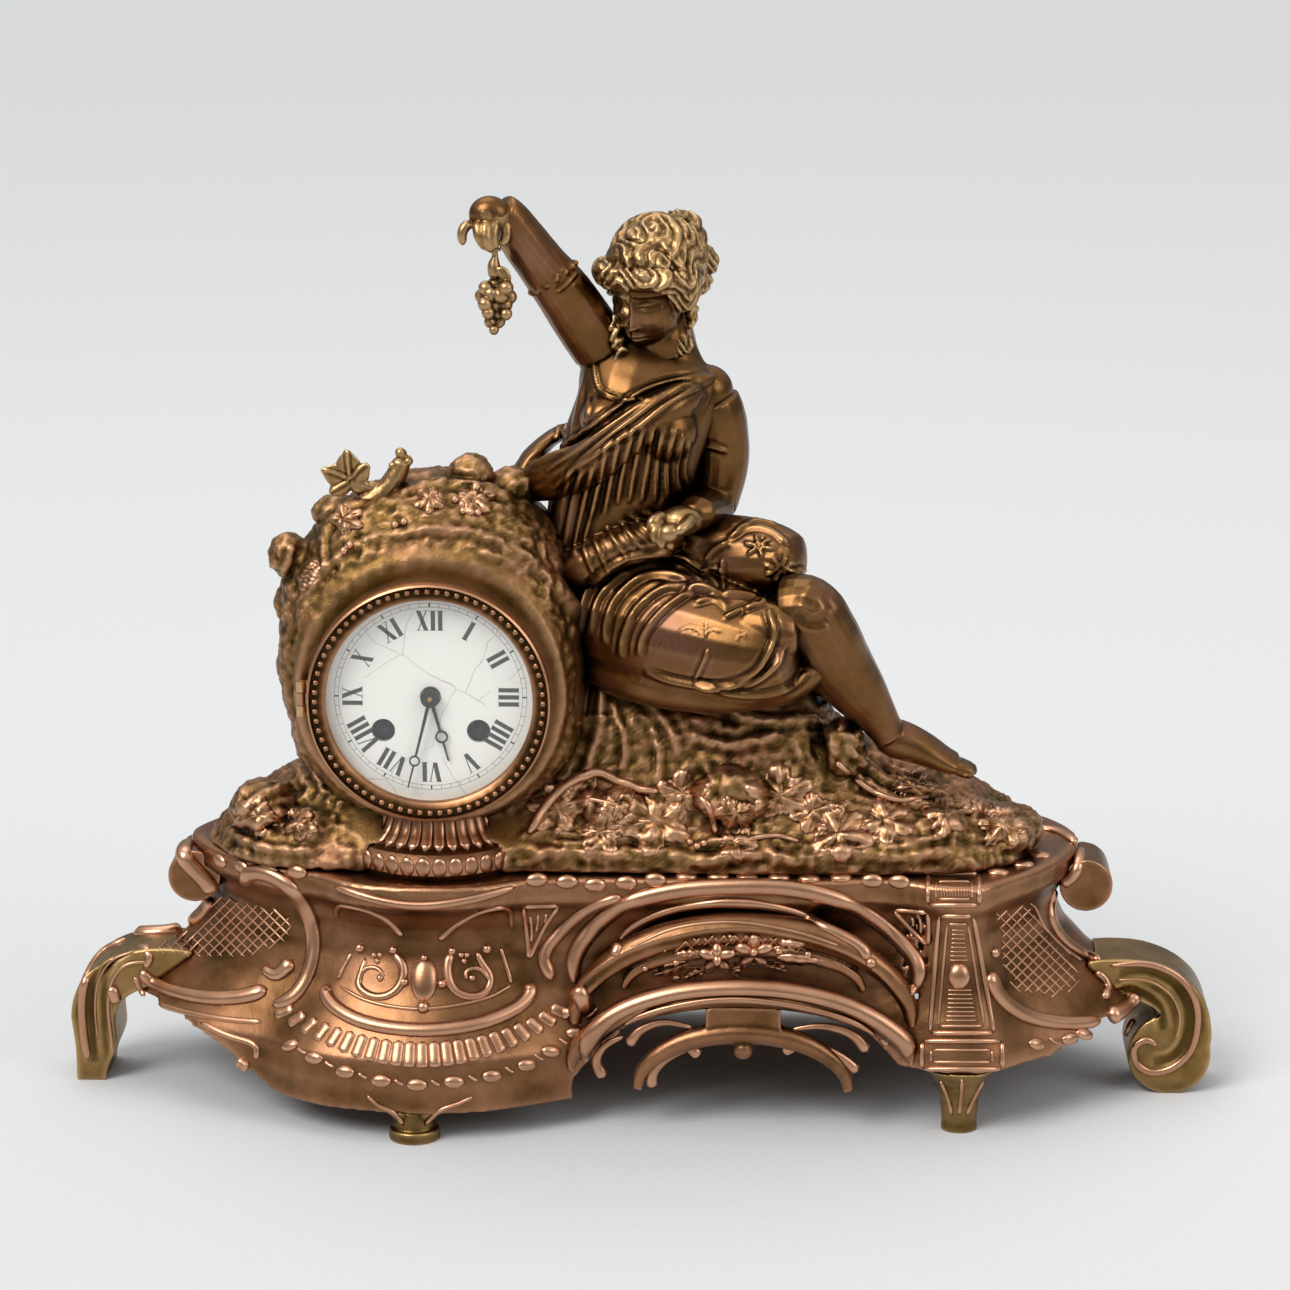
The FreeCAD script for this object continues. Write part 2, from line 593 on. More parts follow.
TORSO_SHARES = [
    ((0.000, 0.020, 0.130), 0.190, 0.125),
    ((-0.010, 0.005, 0.280), 0.185, 0.125), ((-0.018, 0.000, 0.350), 0.155, 0.110),
    ((-0.005, -0.010, 0.440), 0.150, 0.115), ((0.010, -0.025, 0.520), 0.160, 0.125),
    ((0.020, -0.015, 0.590), 0.150, 0.090), ((0.035, -0.005, 0.635), 0.090, 0.060),
    ((0.050, -0.005, 0.665), 0.050, 0.045), ((0.048, -0.020, 0.720), 0.042, 0.042)]
HEAD_SHARES = [
    ((0.000, -0.075, 0.665), 0.030, 0.030), ((0.005, -0.065, 0.700), 0.066, 0.070),
    ((0.020, -0.045, 0.765), 0.090, 0.108), ((0.035, -0.030, 0.840), 0.112, 0.130),
    ((0.045, -0.020, 0.895), 0.095, 0.105), ((0.055, -0.010, 0.938), 0.045, 0.050)]
SIDE_BUN_SHARES = (0.133, 0.021, 0.868, 0.052)
TOP_BUN_SHARES = (0.088, 0.006, 0.921, 0.043)
KNEE_SHARES = (0.341, -0.235, 0.193, 0.067)
RAISED_ARM_SHARES = [
    ((-0.050, -0.030, 0.655), 0.055, 0.055), ((-0.105, -0.050, 0.735), 0.063, 0.060),
    ((-0.155, -0.085, 0.815), 0.060, 0.058), ((-0.205, -0.120, 0.880), 0.050, 0.052),
    ((-0.245, -0.150, 0.950), 0.040, 0.042), ((-0.280, -0.170, 0.982), 0.030, 0.034)]
RAISED_HAND_SHARES = [
    ((-0.272, -0.172, 0.985), 0.022, 0.026), ((-0.292, -0.182, 0.960), 0.036, 0.030),
    ((-0.295, -0.190, 0.925), 0.042, 0.030), ((-0.285, -0.192, 0.880), 0.018, 0.022)]
RESTING_ARM_SHARES = [
    ((0.120, -0.010, 0.600), 0.050, 0.055), ((0.150, -0.005, 0.530), 0.062, 0.064),
    ((0.155, 0.000, 0.450), 0.056, 0.060), ((0.150, -0.010, 0.380), 0.050, 0.054),
    ((0.140, -0.050, 0.345), 0.046, 0.046), ((0.125, -0.130, 0.350), 0.038, 0.036),
    ((0.115, -0.190, 0.352), 0.028, 0.028)]
RESTING_HAND_SHARES = [
    ((0.120, -0.185, 0.352), 0.024, 0.022), ((0.105, -0.215, 0.350), 0.040, 0.028),
    ((0.088, -0.240, 0.352), 0.040, 0.028), ((0.070, -0.255, 0.356), 0.020, 0.018)]
NEAR_THIGH_SHARES = [
    ((-0.060, 0.030, 0.140), 0.110, 0.130), ((0.040, -0.050, 0.150), 0.135, 0.150),
    ((0.160, -0.150, 0.160), 0.125, 0.135), ((0.260, -0.220, 0.150), 0.100, 0.100),
    ((0.320, -0.255, 0.150), 0.070, 0.070)]
FAR_THIGH_SHARES = [
    ((0.030, 0.040, 0.190), 0.100, 0.100), ((0.150, -0.030, 0.245), 0.105, 0.095),
    ((0.270, -0.120, 0.255), 0.085, 0.080), ((0.335, -0.180, 0.235), 0.060, 0.060)]
BARE_LEG_SHARES = [
    ((0.350, -0.228, 0.180), 0.066, 0.064),
    ((0.385, -0.203, 0.120), 0.070, 0.066), ((0.440, -0.165, 0.030), 0.052, 0.050),
    ((0.490, -0.140, -0.050), 0.034, 0.034), ((0.510, -0.130, -0.080), 0.032, 0.034)]
BARE_FOOT_SHARES = [
    ((0.485, -0.095, -0.105), 0.024, 0.026), ((0.520, -0.115, -0.100), 0.042, 0.036),
    ((0.580, -0.120, -0.128), 0.030, 0.044), ((0.640, -0.125, -0.155), 0.019, 0.048),
    ((0.672, -0.125, -0.168), 0.012, 0.036)]
TUCKED_LEG_SHARES = [
    ((0.260, -0.120, 0.090), 0.060, 0.060), ((0.350, -0.060, 0.035), 0.052, 0.054),
    ((0.420, -0.010, -0.025), 0.038, 0.042), ((0.455, 0.020, -0.060), 0.026, 0.032)]
SWAG_SHARES = [
    ((-0.010, -0.090, 0.490), 0.020, 0.030), ((-0.090, -0.080, 0.440), 0.028, 0.040),
    ((-0.160, -0.070, 0.405), 0.034, 0.040), ((-0.215, -0.045, 0.400), 0.030, 0.024)]


def bun(shares):
    x, y, z, radius = shares
    return ball(at(x, y, z), radius * FIGURE_HEIGHT)


def make_figure(rock):
    """The figure's castings. Each is cut to sit against the ones made before it."""
    thighs = [figure_limb(NEAR_THIGH_SHARES, UP), figure_limb(FAR_THIGH_SHARES, UP)]
    body = figure_limb(TORSO_SHARES).fuse(thighs + [figure_limb(SWAG_SHARES)])
    pieces = {"draped_body": largest(body.cut(rock))}
    castings = [
        ("head", [figure_limb(HEAD_SHARES), bun(SIDE_BUN_SHARES), bun(TOP_BUN_SHARES)]),
        ("raised_arm", [figure_limb(RAISED_ARM_SHARES), figure_limb(RAISED_HAND_SHARES)]),
        ("resting_arm", [figure_limb(RESTING_ARM_SHARES, UP), figure_limb(RESTING_HAND_SHARES, UP)]),
        ("bare_leg", [figure_limb(BARE_LEG_SHARES), bun(KNEE_SHARES), figure_limb(BARE_FOOT_SHARES)]),
        ("tucked_leg", [figure_limb(TUCKED_LEG_SHARES)])]
    for name, forms in castings:
        shape = forms[0].fuse(forms[1:]) if len(forms) > 1 else forms[0]
        shape = shape.cut([rock] + list(pieces.values()))
        pieces[name] = largest(shape)
    return pieces


GRAPE_TOP_SHARES = (-0.275, -0.192, 0.862)
GRAPE_LENGTH = 41.0
GRAPE_HALF = 8.0
BERRY_RADIUS = 3.8
# Down the bunch: how far each ring of berries spreads, and the core's place and thickness
BERRY_SPREAD_SHARES = [0.55, 0.95, 1.00, 0.90, 0.70, 0.45]
GRAPE_CORE_SHARES = [(0.20, 0.25), (0.38, 0.55), (0.60, 0.70), (0.82, 0.50), (0.98, 0.20)]


def make_grapes(raised_arm):
    """A stem and rings of berries that swell and then taper to one at the foot."""
    top = at(*GRAPE_TOP_SHARES)
    core = limb([(top - UP * (GRAPE_LENGTH * s), w * GRAPE_HALF, w * GRAPE_HALF) for s,
                 w in GRAPE_CORE_SHARES])
    stem = Part.makeCylinder(GRAPE_HALF * 0.18, GRAPE_LENGTH * 0.5, top - UP * (GRAPE_LENGTH * 0.35))
    berries = [stem]
    for row, spread in enumerate(BERRY_SPREAD_SHARES):
        z = GRAPE_LENGTH * (0.395 + 0.115 * row)
        count = 6 if spread > 0.8 else 4
        for i in range(count):
            a = 2 * math.pi * (i + 0.5 * (row % 2)) / count
            out = spread * (GRAPE_HALF - BERRY_RADIUS * 0.6)
            place = top + V(out * math.cos(a), out * math.sin(a), -z)
            berries.append(ball(place, BERRY_RADIUS * (0.8 + 0.2 * spread)))
    return largest(core.fuse(berries).cut(raised_arm))


# The broken stem, its stalk and its leaf: across, back, up from the drum's centre and half thickness,
# as shares of the bore
SPRIG_STEM_SHARES = [(-0.62, -0.62, 1.42, 0.085), (-0.52, -0.64, 1.56, 0.095), (-0.36, -0.66, 1.70, 0.085),
                     (-0.24, -0.66, 1.92, 0.060)]
SPRIG_STALK_SHARES = [(-0.50, -0.64, 1.50, 0.060), (-0.60, -0.66, 1.60, 0.070), (-0.72, -0.66, 1.74, 0.060)]
SPRIG_LEAF_SHARES = (-0.75, -0.66, 1.78, 0.26, 0.07, 0.27)


def make_sprig(rock):
    """The broken vine stem on top of the rock, with its leaf."""
    s = BORE_RADIUS
    parts = []
    for shares in (SPRIG_STEM_SHARES, SPRIG_STALK_SHARES):
        parts.append(limb([(V(DRUM_X + x * s, y * s, DRUM_Z + z * s), r * s, r * s) for x, y, z,
                           r in shares]))
    x, y, z, wide, thick, tall = SPRIG_LEAF_SHARES
    leaf = stretched(ball(V(0, 0, 0), 1), V(DRUM_X + x * s, y * s, DRUM_Z + z * s), wide * s, thick * s,
                     tall * s)
    return largest(parts[0].fuse([parts[1], leaf]).cut(rock))


# Movement

ADDENDUM_SHARE = 0.62
DEDENDUM_SHARE = 0.90
WHEEL_TIP_SHARE = 0.20
WHEEL_ROOT_SHARE = 0.46
PINION_TIP_SHARE = 0.16
PINION_ROOT_SHARE = 0.40
RIM_SHARE = 0.80
HUB_SHARE = 0.30
CROSSING_SHARE = 0.82


def tooth_outline(teeth, module, tip_share, root_share, phase):
    """Corners of a wheel with straight-sided teeth. Shares are of the pitch angle."""
    pitch_radius = teeth * module / 2
    pitch = 2 * math.pi / teeth
    tip = pitch_radius + ADDENDUM_SHARE * module
    root = pitch_radius - DEDENDUM_SHARE * module
    corners = []
    for i in range(teeth):
        middle = phase + pitch * i
        for r, share in ((root, -root_share), (tip, -tip_share), (tip, tip_share), (root, root_share)):
            a = middle + share * pitch / 2
            corners.append((r * math.cos(a), r * math.sin(a)))
    return corners


def gear(teeth, module, y0, y1, place, phase=0.0, crossings=0, pinion=False):
    """A toothed wheel on an arbor along Y. Wheels may have round crossings, and pinions are solid."""
    x, z = place
    tip_share = PINION_TIP_SHARE if pinion else WHEEL_TIP_SHARE
    root_share = PINION_ROOT_SHARE if pinion else WHEEL_ROOT_SHARE
    corners = tooth_outline(teeth, module, tip_share, root_share, phase)
    places = [V(DRUM_X + x + cx, y0, DRUM_Z + z + cz) for cx, cz in corners]
    wheel = Part.Face(Part.makePolygon(places + places[:1])).extrude(V(0, y1 - y0, 0))
    pitch_radius = teeth * module / 2
    rim = pitch_radius * RIM_SHARE
    hub = pitch_radius * HUB_SHARE
    middle = (rim + hub) / 2
    for i in range(crossings):
        a = 2 * math.pi * (i + 0.5) / crossings
        hole = min((rim - hub) / 2, middle * math.sin(math.pi / crossings) * CROSSING_SHARE)
        wheel = wheel.cut(cylinder(hole, y0 - OVERRUN, y1 + OVERRUN, x + middle * math.cos(a),
                                   z + middle * math.sin(a)))
    return wheel


def pinion_and_wheel(place, y0, y1, shaft_radius, pinion, wheel):
    """An arbor with its pinion and its wheel: teeth, module, level, thickness, phase and crossings."""
    shape = cylinder(shaft_radius, y0, y1, *place)
    teeth, module, level, thickness, phase = pinion
    leaves = gear(teeth, module, level - PINION_OVERHANG, level + thickness + PINION_OVERHANG, place,
                  phase, pinion=True)
    teeth, module, level, thickness, phase, crossings = wheel
    return shape.fuse([leaves, gear(teeth, module, level, level + thickness, place, phase, crossings)])


def meeting(a, ra, b, rb, side):
    """The place at distance ra from a and rb from b, on the given side of the line from a to b."""
    dx = b[0] - a[0]
    dz = b[1] - a[1]
    distance = math.hypot(dx, dz)
    along = (ra * ra - rb * rb + distance * distance) / (2 * distance)
    off = math.sqrt(ra * ra - along * along) * side
    return (a[0] + (dx * along - dz * off) / distance, a[1] + (dz * along + dx * off) / distance)


def mesh_phase(own, other, own_teeth, other_teeth, other_phase):
    """The phase that puts a gap of this wheel on a tooth of the other, on their line of centres."""
    line = math.atan2(other[1] - own[1], other[0] - own[0])
    pitch = 2 * math.pi / own_teeth
    other_pitch = 2 * math.pi / other_teeth
    offset = ((line + math.pi - other_phase) / other_pitch) % 1.0
    return line + pitch / 2 + offset * pitch


def polar(origin, radius, degrees):
    a = math.radians(degrees)
    return (origin[0] + radius * math.cos(a), origin[1] + radius * math.sin(a))


def pair_distance(teeth_a, teeth_b, module):
    return module * (teeth_a + teeth_b) / 2


# Directions, in degrees from +X, of the arbors that no other rule places
PIN_DEGREES = 104
LOCK_DEGREES = 72
FLY_DEGREES = 100
MINUTE_DEGREES = 160
HAMMER_OUT = 36.0
HAMMER_UP = 9.0
CENTRE = (0.0, 0.0)
GOING_BARREL = (WINDING_OUT, -WINDING_DOWN)
STRIKE_BARREL = (-WINDING_OUT, -WINDING_DOWN)
ESCAPE = (0.0, ESCAPE_UP)
PALLET = (0.0, PALLET_UP)
SECOND = meeting(GOING_BARREL, pair_distance(BARREL_TEETH, SECOND_PINION_TEETH, BARREL_MODULE), CENTRE,
                 pair_distance(SECOND_TEETH, CENTRE_PINION_TEETH, SECOND_MODULE), -1)
THIRD = meeting(CENTRE, pair_distance(CENTRE_TEETH, THIRD_PINION_TEETH, CENTRE_MODULE), ESCAPE,
                pair_distance(THIRD_TEETH, ESCAPE_PINION_TEETH, THIRD_MODULE), 1)
PIN = polar(STRIKE_BARREL, pair_distance(BARREL_TEETH, SECOND_PINION_TEETH, BARREL_MODULE), PIN_DEGREES)
LOCK = polar(PIN, pair_distance(PIN_TEETH, LOCK_PINION_TEETH, PIN_MODULE), LOCK_DEGREES)
FLY = polar(LOCK, pair_distance(LOCK_TEETH, FLY_PINION_TEETH, LOCK_MODULE), FLY_DEGREES)
MINUTE = polar(CENTRE, pair_distance(CANNON_TEETH, MINUTE_TEETH, MOTION_MODULE), MINUTE_DEGREES)
HAMMER = (-HAMMER_OUT, HAMMER_UP)

# Levels of the movement, front to back, with those between the plates as shares of the gap
CENTRE_LEVEL_SHARE = 0.06
BARREL_LEVEL_SHARE = 0.17
ESCAPE_LEVEL_SHARE = 0.74
SECOND_LEVEL_SHARE = 0.86
THIRD_LEVEL_SHARE = 0.94
BARREL_DRUM_SHARE = 0.55
DIAL_TO_HAND = 1.6
HAND_TO_HAND = 1.7
COLLET_THICKNESS = 0.8
ARBOR_PROUD = 0.2
GLASS_SEAT_SHARE = 0.35
SEAT_FRONT_Y = DRUM_FRONT_Y - SEAT_THICKNESS
DIAL_Y = DRUM_FRONT_Y - DIAL_THICKNESS
FRONT_PLATE_Y = DRUM_FRONT_Y + MOTION_SPACE
FRONT_INNER_Y = FRONT_PLATE_Y + PLATE_THICKNESS
BACK_INNER_Y = FRONT_INNER_Y + PLATE_GAP
BACK_PLATE_Y = BACK_INNER_Y + PLATE_THICKNESS
CENTRE_LEVEL = FRONT_INNER_Y + CENTRE_LEVEL_SHARE * PLATE_GAP
BARREL_LEVEL = FRONT_INNER_Y + BARREL_LEVEL_SHARE * PLATE_GAP
SECOND_LEVEL = FRONT_INNER_Y + SECOND_LEVEL_SHARE * PLATE_GAP
THIRD_LEVEL = FRONT_INNER_Y + THIRD_LEVEL_SHARE * PLATE_GAP
ESCAPE_LEVEL = FRONT_INNER_Y + ESCAPE_LEVEL_SHARE * PLATE_GAP
BARREL_DEPTH = BARREL_DRUM_SHARE * PLATE_GAP
PENDULUM_Y = BACK_PLATE_Y + PENDULUM_BACK
BELL_Y = PENDULUM_Y + BELL_BACK
HOUR_HAND_Y = DIAL_Y - DIAL_TO_HAND
MINUTE_HAND_Y = HOUR_HAND_Y - HAND_TO_HAND
COLLET_Y = MINUTE_HAND_Y - COLLET_THICKNESS
ARBOR_FRONT_Y = FRONT_PLATE_Y + END_FLOAT
ARBOR_BACK_Y = BACK_PLATE_Y - END_FLOAT
FINE_WHEEL_THICKNESS = 0.9

PILLAR_CIRCLE = 36.5
PILLAR_DEGREES = (38, 150, 252, 288)


def drilled(plate, y0, y1):
    """A plate with a hole for every arbor that turns in it."""
    tools = []
    for place in (SECOND, THIRD, ESCAPE, PALLET, PIN, LOCK, FLY, HAMMER):
        tools.append(cylinder(ARBOR_RADIUS + RUNNING_GAP, y0 - OVERRUN, y1 + OVERRUN, *place))
    tools.append(cylinder(CENTRE_ARBOR_RADIUS + RUNNING_GAP, y0 - OVERRUN, y1 + OVERRUN))
    for place in (GOING_BARREL, STRIKE_BARREL):
        tools.append(cylinder(WINDING_ARBOR_RADIUS + RUNNING_GAP, y0 - OVERRUN, y1 + OVERRUN, *place))
    return plate.cut(tools)


def make_frame():
    """Two round plates on four pillars. The front plate carries the post of the minute wheel."""
    front = cylinder(PLATE_RADIUS, FRONT_PLATE_Y, FRONT_INNER_Y)
    post = cylinder(ARBOR_RADIUS, HOUR_LEVEL, FRONT_PLATE_Y, *MINUTE)
    save("front_plate", drilled(front, FRONT_PLATE_Y, FRONT_INNER_Y).fuse(post))
    save("back_plate", drilled(cylinder(PLATE_RADIUS, BACK_INNER_Y, BACK_PLATE_Y), BACK_INNER_Y,
                               BACK_PLATE_Y))
    places = [polar(CENTRE, PILLAR_CIRCLE, d) for d in PILLAR_DEGREES]
    save("plate_pillars", *[cylinder(PILLAR_RADIUS, FRONT_INNER_Y, BACK_INNER_Y, *p) for p in places])


RATCHET_THICKNESS = 1.4
RATCHET_OFF = 1.2
SQUARE_BEHIND_DIAL = 0.5
RATCHET_FRONT_Y = FRONT_PLATE_Y - RATCHET_OFF - RATCHET_THICKNESS
RATCHET_BACK_Y = FRONT_PLATE_Y - RATCHET_OFF


def make_barrel(name, place):
    """A spring barrel with its great wheel, and the winding arbor with its ratchet and square end."""
    x, z = place
    radius = BARREL_TEETH * BARREL_MODULE / 2 - BARREL_STEP
    wheel_back = BARREL_LEVEL + GREAT_WHEEL_THICKNESS
    back = BARREL_LEVEL + BARREL_DEPTH
    wheel = gear(BARREL_TEETH, BARREL_MODULE, BARREL_LEVEL, wheel_back, place)
    drum = cylinder(radius, wheel_back, back, x, z)
    drum = drum.cut(cylinder(radius - BARREL_WALL, wheel_back, back - BARREL_WALL, x, z))
    hole = cylinder(WINDING_ARBOR_RADIUS + RUNNING_GAP, BARREL_LEVEL - OVERRUN, back + OVERRUN, x, z)
    save(name + "_barrel", wheel.fuse(drum).cut(hole))
    shaft = cylinder(WINDING_ARBOR_RADIUS, RATCHET_FRONT_Y, BACK_PLATE_Y, x, z)
    half = WINDING_SQUARE / 2
    square = block(DRUM_X + x - half, DRUM_X + x + half, DIAL_Y + SQUARE_BEHIND_DIAL, FRONT_PLATE_Y,
                   DRUM_Z + z - half, DRUM_Z + z + half)
    module = 2 * RATCHET_RADIUS / RATCHET_TEETH
    ratchet = gear(RATCHET_TEETH, module, RATCHET_FRONT_Y, RATCHET_BACK_Y, place)
    save(name + "_winding_arbor", shaft.fuse([square, ratchet]))


CLICK_PIN_RADIUS = 0.9
CLICK_BOSS_RADIUS = 2.0
CLICK_OUT = 4.2
CLICK_TIP_CLEARANCE = 1.4
CLICK_SCREW_HEAD = 0.8
CLICK_DEGREES = 55
# Along the click's beak: degrees from the top, and half width as a share of the boss
CLICK_BEAK_SHARES = [(52, 0.95, 0.80), (42, 0.72, 0.60), (30, 0.40, 0.45), (20, 0.0, 0.28)]


def make_click(name, place, side):
    """The click that holds the ratchet. It rests just clear of the teeth."""
    pivot = polar(place, RATCHET_RADIUS + CLICK_OUT, 90 + side * CLICK_DEGREES)
    boss = cylinder(CLICK_BOSS_RADIUS, RATCHET_FRONT_Y, FRONT_PLATE_Y, *pivot)
    y = (RATCHET_FRONT_Y + RATCHET_BACK_Y) / 2
    low = RATCHET_RADIUS + CLICK_TIP_CLEARANCE
    stations = []
    for degrees, out, thick in CLICK_BEAK_SHARES:
        px, pz = polar(place, low + out * (RATCHET_RADIUS + CLICK_OUT - low), 90 + side * degrees)
        stations.append((V(DRUM_X + px, y, DRUM_Z + pz), thick * CLICK_BOSS_RADIUS,
                         RATCHET_THICKNESS * 0.4))
    hole = cylinder(CLICK_PIN_RADIUS + RUNNING_GAP, RATCHET_FRONT_Y - OVERRUN, FRONT_PLATE_Y + OVERRUN,
                    *pivot)
    save(name + "_click", boss.fuse(limb(stations)).cut(hole))
    head = cylinder(CLICK_PIN_RADIUS * 1.8, RATCHET_FRONT_Y - CLICK_SCREW_HEAD - RUNNING_GAP,
                    RATCHET_FRONT_Y - RUNNING_GAP, *pivot)
    return cylinder(CLICK_PIN_RADIUS, RATCHET_FRONT_Y - CLICK_SCREW_HEAD, FRONT_PLATE_Y, *pivot).fuse(head)


def make_going_train():
    """Second, centre, third and escape wheels."""
    phase = mesh_phase(SECOND, GOING_BARREL, SECOND_PINION_TEETH, BARREL_TEETH, 0)
    save("second_wheel", pinion_and_wheel(
        SECOND, ARBOR_FRONT_Y, ARBOR_BACK_Y, ARBOR_RADIUS,
        (SECOND_PINION_TEETH, BARREL_MODULE, BARREL_LEVEL, GREAT_WHEEL_THICKNESS, phase),
        (SECOND_TEETH, SECOND_MODULE, SECOND_LEVEL, WHEEL_THICKNESS, 0, 5)))
    phase = mesh_phase(CENTRE, SECOND, CENTRE_PINION_TEETH, SECOND_TEETH, 0)
    save("centre_wheel", pinion_and_wheel(
        CENTRE, COLLET_Y - ARBOR_PROUD, ARBOR_BACK_Y, CENTRE_ARBOR_RADIUS,
        (CENTRE_PINION_TEETH, SECOND_MODULE, SECOND_LEVEL, WHEEL_THICKNESS, phase),
        (CENTRE_TEETH, CENTRE_MODULE, CENTRE_LEVEL, WHEEL_THICKNESS, 0, 5)))
    phase = mesh_phase(THIRD, CENTRE, THIRD_PINION_TEETH, CENTRE_TEETH, 0)
    save("third_wheel", pinion_and_wheel(
        THIRD, ARBOR_FRONT_Y, ARBOR_BACK_Y, ARBOR_RADIUS,
        (THIRD_PINION_TEETH, CENTRE_MODULE, CENTRE_LEVEL, WHEEL_THICKNESS, phase),
        (THIRD_TEETH, THIRD_MODULE, THIRD_LEVEL, FINE_WHEEL_THICKNESS, 0, 5)))
    phase = mesh_phase(ESCAPE, THIRD, ESCAPE_PINION_TEETH, THIRD_TEETH, 0)
    module = 2 * ESCAPE_RADIUS / ESCAPE_TEETH
    save("escape_wheel", pinion_and_wheel(
        ESCAPE, ARBOR_FRONT_Y, ARBOR_BACK_Y, ARBOR_RADIUS,
        (ESCAPE_PINION_TEETH, THIRD_MODULE, THIRD_LEVEL, FINE_WHEEL_THICKNESS, phase),
        (ESCAPE_TEETH, module, ESCAPE_LEVEL, FINE_WHEEL_THICKNESS, 0, 4)))


COUNT_RADIUS = 9.0
COUNT_NOTCH_RADIUS = 0.7
COUNT_OFF = 2.0
COUNT_TURN_STROKES = 90
VANE_HALF = 3.0
VANE_THICKNESS = 0.8
VANE_SHARES = (0.25, 0.62)


def make_strike_train():
    """Pin wheel with the count wheel outside the back plate, locking wheel and fly."""
    count_y = BACK_PLATE_Y + COUNT_OFF
    count = cylinder(COUNT_RADIUS, count_y, count_y + WHEEL_THICKNESS, *PIN)
    notches = []
    strokes = 0
    for hour in range(1, 13):
        notch = polar(PIN, COUNT_RADIUS, 360 * strokes / COUNT_TURN_STROKES)
        notches.append(cylinder(COUNT_NOTCH_RADIUS, count_y - OVERRUN, count_y + OVERRUN, *notch))
        strokes += hour + 1
    phase = mesh_phase(PIN, STRIKE_BARREL, SECOND_PINION_TEETH, BARREL_TEETH, 0)
    wheels = pinion_and_wheel(
        PIN, ARBOR_FRONT_Y, count_y + WHEEL_THICKNESS, ARBOR_RADIUS,
        (SECOND_PINION_TEETH, BARREL_MODULE, BARREL_LEVEL, GREAT_WHEEL_THICKNESS, phase),
        (PIN_TEETH, PIN_MODULE, SECOND_LEVEL, WHEEL_THICKNESS, 0, 5))
    save("pin_wheel", wheels.fuse(count.cut(notches)))
    phase = mesh_phase(LOCK, PIN, LOCK_PINION_TEETH, PIN_TEETH, 0)
    save("locking_wheel", pinion_and_wheel(
        LOCK, ARBOR_FRONT_Y, ARBOR_BACK_Y, ARBOR_RADIUS,
        (LOCK_PINION_TEETH, PIN_MODULE, SECOND_LEVEL, WHEEL_THICKNESS, phase),
        (LOCK_TEETH, LOCK_MODULE, CENTRE_LEVEL, FINE_WHEEL_THICKNESS, 0, 4)))
    phase = mesh_phase(FLY, LOCK, FLY_PINION_TEETH, LOCK_TEETH, 0)
    leaves = gear(FLY_PINION_TEETH, LOCK_MODULE, CENTRE_LEVEL - PINION_OVERHANG,
                  CENTRE_LEVEL + FINE_WHEEL_THICKNESS + PINION_OVERHANG, FLY, phase, pinion=True)
    x = DRUM_X + FLY[0]
    z = DRUM_Z + FLY[1]
    vane = block(x - VANE_HALF, x + VANE_HALF, FRONT_INNER_Y + VANE_SHARES[0] * PLATE_GAP,
                 FRONT_INNER_Y + VANE_SHARES[1] * PLATE_GAP, z - VANE_THICKNESS / 2, z + VANE_THICKNESS / 2)
    save("fly", cylinder(ARBOR_RADIUS, ARBOR_FRONT_Y, ARBOR_BACK_Y, *FLY).fuse([leaves, vane]))


CANNON_RADIUS = 1.6
HOUR_PIPE_RADIUS = 2.6
MINUTE_OFF = 2.2
HOUR_OFF = 5.2
PIPE_PROUD = 0.4
CANNON_BACK_Y = FRONT_PLATE_Y - END_FLOAT
MINUTE_LEVEL = FRONT_PLATE_Y - MINUTE_OFF
HOUR_LEVEL = FRONT_PLATE_Y - HOUR_OFF


def make_motion_work():
    """The cannon pinion, the minute wheel and the hour wheel, between the dial and the front plate."""
    leaves = gear(CANNON_TEETH, MOTION_MODULE, MINUTE_LEVEL - PINION_OVERHANG,
                  MINUTE_LEVEL + GREAT_WHEEL_THICKNESS, CENTRE,
                  pinion=True)
    pipe = cylinder(CANNON_RADIUS, COLLET_Y + COLLET_THICKNESS, CANNON_BACK_Y)
    bore = cylinder(CENTRE_ARBOR_RADIUS + RUNNING_GAP, COLLET_Y - OVERRUN, CANNON_BACK_Y + OVERRUN)
    save("cannon_pinion", pipe.fuse(leaves).cut(bore))
    phase = mesh_phase(MINUTE, CENTRE, MINUTE_TEETH, CANNON_TEETH, 0)
    wheel = gear(MINUTE_TEETH, MOTION_MODULE, MINUTE_LEVEL, MINUTE_LEVEL + WHEEL_THICKNESS, MINUTE, phase)
    leaves = gear(MINUTE_PINION_TEETH, MOTION_MODULE, HOUR_LEVEL - END_FLOAT, MINUTE_LEVEL, MINUTE,
                  pinion=True)
    hole = cylinder(ARBOR_RADIUS + RUNNING_GAP, HOUR_LEVEL - OVERRUN, FRONT_PLATE_Y, *MINUTE)
    save("minute_wheel", wheel.fuse(leaves).cut(hole))
    phase = mesh_phase(CENTRE, MINUTE, HOUR_TEETH, MINUTE_PINION_TEETH, 0)
    wheel = gear(HOUR_TEETH, MOTION_MODULE, HOUR_LEVEL, HOUR_LEVEL + WHEEL_THICKNESS, CENTRE, phase)
    pipe = cylinder(HOUR_PIPE_RADIUS, HOUR_HAND_Y - PIPE_PROUD, HOUR_LEVEL + PIPE_PROUD)
    bore = cylinder(CANNON_RADIUS + RUNNING_GAP, HOUR_HAND_Y - OVERRUN, HOUR_LEVEL + OVERRUN)
    save("hour_wheel", wheel.fuse(pipe).cut(bore))


